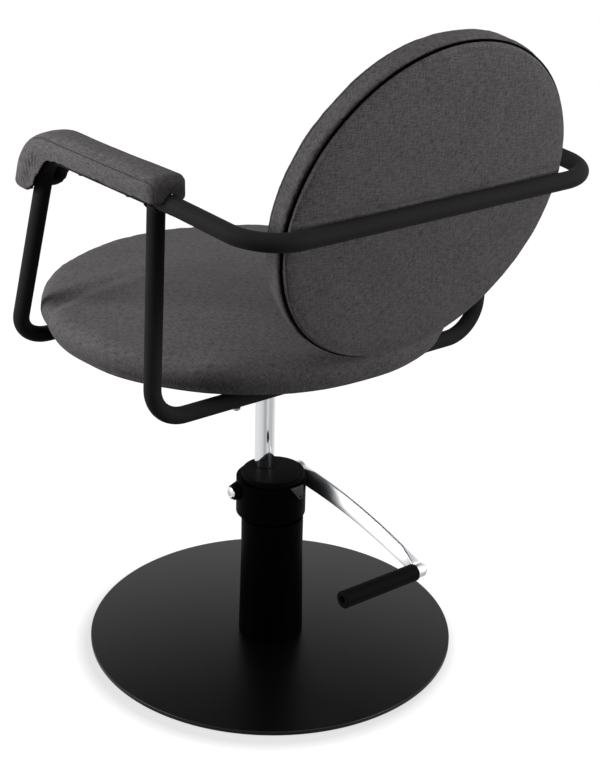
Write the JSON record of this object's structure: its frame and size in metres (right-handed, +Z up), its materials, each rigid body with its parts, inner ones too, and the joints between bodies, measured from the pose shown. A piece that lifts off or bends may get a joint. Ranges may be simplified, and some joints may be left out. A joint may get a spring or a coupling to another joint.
{
  "type": "hairdressing chair",
  "caption": "Swivelling salon chair: round floor plate, foot-pumped lifting column, bent tube frame with padded arms, round cushioned seat and round tilted back.",
  "frame": {"origin": "middle of the round base plate, on the floor", "axes": "+Z up, -Y to the front of the chair, +X to the sitter's left"},
  "size_m": [0.6886, 0.806, 1.0726],
  "materials": {
    "black_paint": "satin black powder coat",
    "chrome": "polished chrome plate",
    "bright_steel": "bright steel",
    "grey_casting": "grey casting",
    "black_rubber": "matt black rubber",
    "black_plastic": "matt black plastic",
    "white_nylon": "natural nylon",
    "plywood": "bare plywood",
    "charcoal_cloth": "heathered charcoal weave"
  },
  "bodies": {
    "base": {"base_plate": "black_paint", "floor_ring": "black_rubber", "base_screw_1": "bright_steel", "base_screw_2": "bright_steel", "base_screw_3": "bright_steel", "pump_tube": "black_paint", "pressure_cylinder": "bright_steel", "plunger_barrel": "bright_steel", "pump_head": "black_paint", "head_cap": "black_plastic", "ram_wiper": "black_rubber", "rear_lug": "grey_casting", "pivot_bolt": "chrome", "plunger_spring": "bright_steel"},
    "ram": {"ram": "chrome", "ram_piston": "bright_steel"},
    "seat": {"swivel_hub": "black_paint", "swivel_bush": "white_nylon", "thrust_washer": "white_nylon", "seat_plate": "black_paint", "left_loop": "black_paint", "right_loop": "black_paint", "back_bar": "black_paint", "rear_hoop": "black_paint", "seat_board": "plywood", "seat_cushion": "charcoal_cloth", "seat_screw_1": "bright_steel", "seat_screw_2": "bright_steel", "seat_screw_3": "bright_steel", "seat_screw_4": "bright_steel", "back_board": "black_paint", "back_cushion": "charcoal_cloth", "back_panel": "charcoal_cloth", "back_bolt_1": "bright_steel", "back_bolt_2": "bright_steel", "left_pad_plate": "black_paint", "right_pad_plate": "black_paint", "left_arm_pad": "charcoal_cloth", "right_arm_pad": "charcoal_cloth", "pad_screw_1": "bright_steel", "pad_screw_2": "bright_steel", "pad_screw_3": "bright_steel", "pad_screw_4": "bright_steel"},
    "lever": {"lever_yoke": "bright_steel", "lever_shaft": "bright_steel", "foot_lever": "chrome", "pedal_pin": "chrome", "pedal_grip": "black_rubber"},
    "plunger": {"plunger": "bright_steel"}
  },
  "joints": [
    {"name": "ram_lift", "type": "slide", "parent": "base", "child": "ram", "axis": [0, 0, 1], "range_m": [-0.11, 0.06]},
    {"name": "seat_swivel", "type": "hinge", "parent": "ram", "child": "seat", "pos_m": [0, -0.0238, 0.48], "axis": [0, 0, 1], "continuous": true},
    {"name": "lever_pump", "type": "hinge", "parent": "base", "child": "lever", "pos_m": [0, -0.0238, 0.2693], "axis": [-1, 0, 0], "range_deg": [0, 18], "stiffness_Nm_per_rad": 6, "springref_deg": -34.38},
    {"name": "plunger_stroke", "type": "slide", "parent": "base", "child": "plunger", "axis": [0, 0, -1], "range_m": [0, 0.0134], "deforming": ["plunger_spring"]}
  ],
  "couplings": [
    {"joint": "plunger_stroke", "follows": "lever_pump", "m_per_rad": 0.04215}
  ]
}
